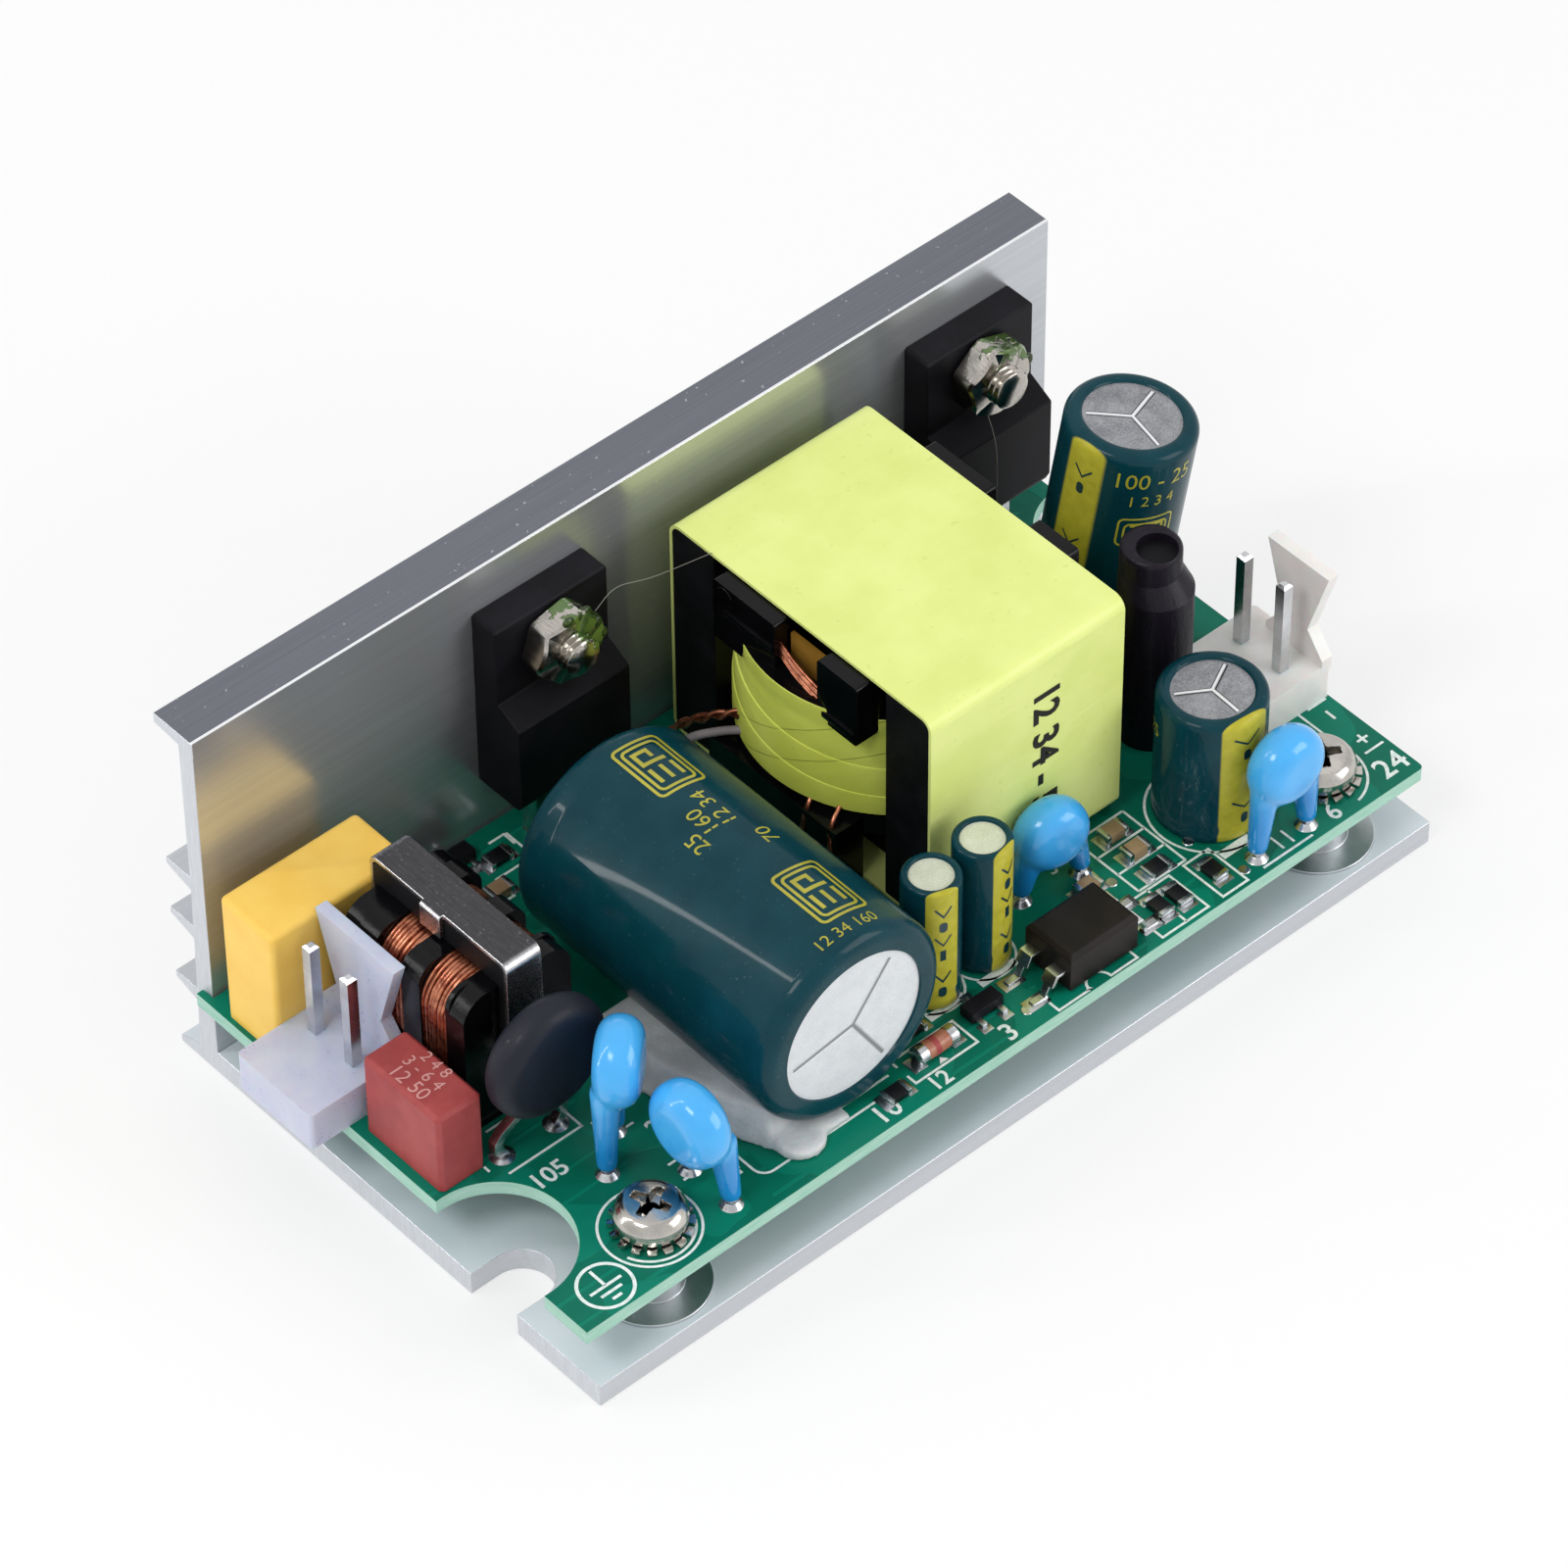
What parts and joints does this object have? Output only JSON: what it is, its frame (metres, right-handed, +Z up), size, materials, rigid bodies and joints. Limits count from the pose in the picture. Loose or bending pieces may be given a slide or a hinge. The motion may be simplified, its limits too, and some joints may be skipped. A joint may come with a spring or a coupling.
{
  "type": "power supply module",
  "caption": "Open-frame mains power supply module: a component board on an L-shaped finned heat sink, with pin headers for mains and output and slots for fixing screws.",
  "frame": {"origin": "middle of the base plate's underside, which is the face that is screwed down", "axes": "+X along the heat sink from the mains end to the output end, +Y from the open front edge to the finned wall, +Z up from the base plate"},
  "size_m": [0.0819, 0.0446, 0.0324],
  "materials": {
    "sink": "satin extrusion",
    "board": "green solder mask with white print",
    "steel": "plated",
    "tinned": "tinned",
    "nylon": "natural nylon, slightly translucent",
    "film_case": "satin",
    "fuse_case": "satin",
    "ferrite": "sintered",
    "black_plastic": "moulded",
    "copper": "enamelled wire",
    "navy_lacquer": "dipped",
    "blue_lacquer": "dipped",
    "teal_sleeve": "shrunk sleeve",
    "can": "drawn",
    "rubber": "moulded",
    "silicone": "cured bead",
    "package": "moulded epoxy",
    "tape": "polyester film",
    "shrink": "heat-shrunk",
    "solder": "solder",
    "chip": "fired",
    "glass": "clear"
  },
  "bodies": {
    "root": {"blue_capacitor_leads": "tinned", "blue_capacitors": "blue_lacquer", "board_screws": "steel", "board_standoffs": "steel", "box_capacitor": "film_case", "box_capacitor_leads": "tinned", "bridge_rectifier": "package", "bulk_bung": "rubber", "bulk_can": "can", "bulk_leads": "tinned", "bulk_sleeve": "teal_sleeve", "chip_capacitors": "chip", "chip_resistors": "chip", "choke_bobbin": "black_plastic", "choke_clip": "steel", "choke_core": "ferrite", "choke_pins": "tinned", "choke_windings": "copper", "circuit_board": "board", "clamp_nuts": "steel", "clamp_screws": "steel", "controller_chip": "package", "fuse": "fuse_case", "fuse_leads": "tinned", "glass_diode": "glass", "heat_sink": "sink", "inductor_core": "ferrite", "inductor_leads": "tinned", "inductor_sleeve": "shrink", "inductor_winding": "copper", "mains_connector": "nylon", "mains_connector_pins": "tinned", "optocoupler": "package", "optocoupler_leads": "tinned", "output_capacitor_cans": "can", "output_capacitor_leads": "tinned", "output_capacitor_sleeves": "teal_sleeve", "output_connector": "nylon", "output_connector_pins": "tinned", "output_rectifier": "package", "output_rectifier_leads": "tinned", "screw_washers": "steel", "silicone_bead": "silicone", "small_transistors": "package", "solder_joints": "solder", "supply_capacitor_cans": "can", "supply_capacitor_leads": "tinned", "supply_capacitor_sleeves": "teal_sleeve", "switch_transistor": "package", "switch_transistor_leads": "tinned", "thermistor": "navy_lacquer", "thermistor_leads": "tinned", "transformer_bobbin": "black_plastic", "transformer_core": "ferrite", "transformer_pins": "tinned", "transformer_tape": "tape", "transformer_winding": "tape", "transformer_wires": "copper"}
  },
  "joints": []
}
